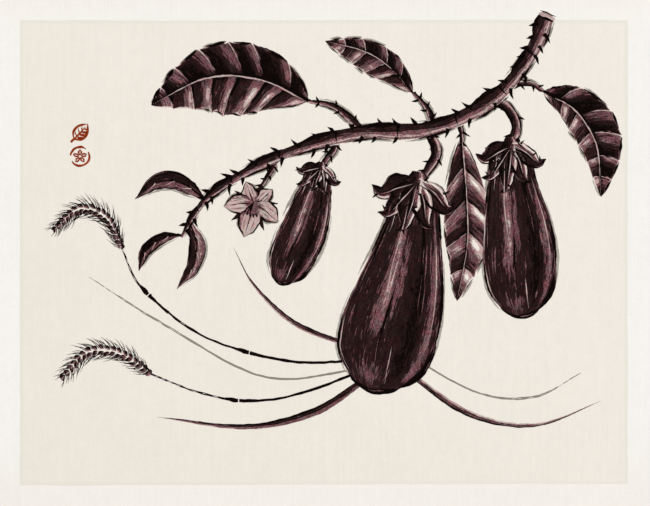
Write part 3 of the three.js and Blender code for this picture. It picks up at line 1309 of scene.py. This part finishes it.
def draw_picture():
    """Lays out the whole picture. Gives the grey block's patches, and each motif's."""
    inks = {name: [] for name in LEVELS}
    grass = inks["grass"]
    culms = [foxtail(culm, head, grass) for culm, head in FOXTAILS]
    for points, widths, tone in BLADES:
        blade(points, widths, tone, grass)
    faint = [stroke(points, (1.2, 1.0, 0.9, 1.1, 0.3), 0.9, step=0) for points in FAINT_BLADES]
    grey = list(faint)
    draw_branch(inks, grey)
    for name, measures in LEAVES.items():
        leaf(inks[name], grey, *measures)
    for name, (body, cap) in FRUITS.items():
        fruit(*body, inks[name], grey)
        calyx(*cap, inks[name])
    flower(*FLOWER, inks["flower"], grey)
    for points, widths, tone in SMALL_LEAVES:
        small_leaf(points, widths, tone, inks["shoot"], grey)
    # Joints and dry stretches in the grass.
    for culm, alongs in zip(culms, GRASS_JOINTS):
        for along in alongs:
            grass_joint(culm, along, grass)
        dry_gaps(culm, 0.62, 0.95, 2, grass)
    for line in faint:
        dry_gaps(line, 0.6, 0.9, 1, grey)
    return grey, inks


# ------------------------------------------------------------------ the two red marks
# The leaf, about its middle: its outline, its midrib, three side ribs, and four strokes that
# shade its lower half.
LEAF_MARK_AT = (-122.5, 60.2)
LEAF_MARK_LINES = (
    ([(-3.0, -3.4), (-3.3, 0.4), (-0.6, 3.4), (3.9, 4.3)], (0.5, 1.2, 1.3, 0.3)),
    ([(-3.0, -3.4), (0.8, -3.4), (3.5, -0.6), (3.9, 4.3)], (0.5, 1.4, 1.6, 0.3)),
    ([(-4.6, -4.7), (-2.0, -2.4), (0.6, 0.4), (3.0, 3.2)], (1.4, 1.1, 0.9, 0.2)),
    ([(-1.6, -2.0), (-2.2, -0.6), (-2.4, 0.8)], (0.7, 0.6, 0.2)),
    ([(-0.2, -0.4), (-0.7, 1.0), (-0.8, 2.4)], (0.7, 0.6, 0.2)),
    ([(1.1, 1.0), (0.9, 2.2), (1.0, 3.2)], (0.7, 0.6, 0.2)),
    ([(-1.3, -2.5), (0.0, -2.7), (1.4, -2.6)], (1.0, 1.3, 0.9)),
    ([(0.0, -1.0), (1.2, -1.3), (2.7, -1.3)], (1.0, 1.4, 1.0)),
    ([(1.1, 0.3), (2.2, 0.1), (3.3, 0.2)], (0.9, 1.3, 0.9)),
    ([(2.2, 1.7), (2.9, 1.6), (3.6, 1.7)], (0.8, 1.0, 0.7)),
)

# The blossom: the ring's radius, the arcs that it is broken into, in degrees, and the petals.
BLOSSOM_AT = np.array((-122.5, 48.3))
BLOSSOM_RADIUS = 4.7
BLOSSOM_ARCS = ((-150, 30), (52, 176))
PETALS = 5
RED_LOAD, RING_LOAD = 0.66, 0.64


def mark_patches():
    """Two small red marks: a half-shaded leaf, and a star blossom in a broken ring."""
    red = []
    for points, widths in LEAF_MARK_LINES:
        path = np.array(points) + LEAF_MARK_AT
        red.append(stroke(path, widths, RED_LOAD, step=0, rough=0.05, rows=14))
    for first, last in BLOSSOM_ARCS:
        turns = np.linspace(first, last, 13)
        ring = [BLOSSOM_AT + turned((BLOSSOM_RADIUS, 0.0), turn) for turn in turns]
        widths = (0.5, 1.3, 1.0, 1.3, 0.5)
        red.append(stroke(ring, widths, RING_LOAD, step=0, rough=0.06, rows=40))
    for i in range(PETALS):
        out = turned((0.0, 1.0), i * 360 / PETALS)
        petal = [BLOSSOM_AT + out * far for far in (0.5, 1.9, 3.7)]
        red.append(stroke(petal, (0.6, 2.0, 1.9, 0.2), RED_LOAD, step=0, rough=0.04, rows=14))
        rib = [BLOSSOM_AT + out * far for far in (1.3, 2.0, 2.8)]
        red.append(stroke(rib, (0.1, 0.4, 0.1), DRY, step=1, rough=0.02, rows=14))
    return red


# ------------------------------------------------------------------ table, light and camera
# Lengths are in metres, but for the camera's sensor.
TABLE_SIDE = 60
TABLE_COLOUR = (0.68, 0.67, 0.65, 1.0)
SKY_COLOUR = (1.0, 1.0, 1.0, 1.0)
SKY_STRENGTH = 0.70
LAMP_TURN = (math.radians(28), math.radians(-26), 0)
LAMP_POWER = 1.16
LAMP_SPREAD = math.radians(24)
CAMERA_FAR = 2.6
SHOWN_WIDTH = 0.325
SENSOR_WIDTH = 36


def make_studio():
    """A pale table, an even sky and one broad soft light from the upper left."""
    bpy.ops.object.select_all(action="DESELECT")
    bpy.ops.mesh.primitive_plane_add(size=TABLE_SIDE)
    table = bpy.context.object
    table.name = "table"
    table.data.materials.append(Recipe("pale_table", 0.8, 0.2).finish(TABLE_COLOUR))

    world = bpy.data.worlds.new("sky")
    world.use_nodes = True
    sky = world.node_tree.nodes["Background"].inputs
    sky["Color"].default_value = SKY_COLOUR
    sky["Strength"].default_value = SKY_STRENGTH
    bpy.context.scene.world = world

    bpy.ops.object.light_add(type="SUN", rotation=LAMP_TURN)
    lamp = bpy.context.object
    lamp.data.energy = LAMP_POWER
    lamp.data.angle = LAMP_SPREAD


def make_camera():
    """Straight above the picture, from far off so that it stays flat."""
    bpy.ops.object.camera_add(location=(0, 0, CAMERA_FAR + PAPER_THICKNESS * MM))
    camera = bpy.context.object
    camera.data.sensor_width = SENSOR_WIDTH
    camera.data.lens = SENSOR_WIDTH * CAMERA_FAR / SHOWN_WIDTH
    camera.data.clip_end = 50
    bpy.context.scene.camera = camera
    bpy.context.scene.view_settings.view_transform = "Standard"


make_camera()
make_studio()
sheet = make_sheet(sheet_material())
film("ground_tint", [ground_patch()], 1, tint_material())
grey_patches, motifs = draw_picture()
film("grey_ink", grey_patches, 2, thin_ink_material("grey_ink", GREY, GREY_THIN))
picture_inks = picture_material()
for name, patches in motifs.items():
    film(f"{name}_ink", patches, LEVELS[name], picture_inks)
strike_through_and_crease_shade(sheet, [p for patches in motifs.values() for p in patches])
film("red_marks", mark_patches(), 2, thin_ink_material("red_ink", RED, RED_THIN))
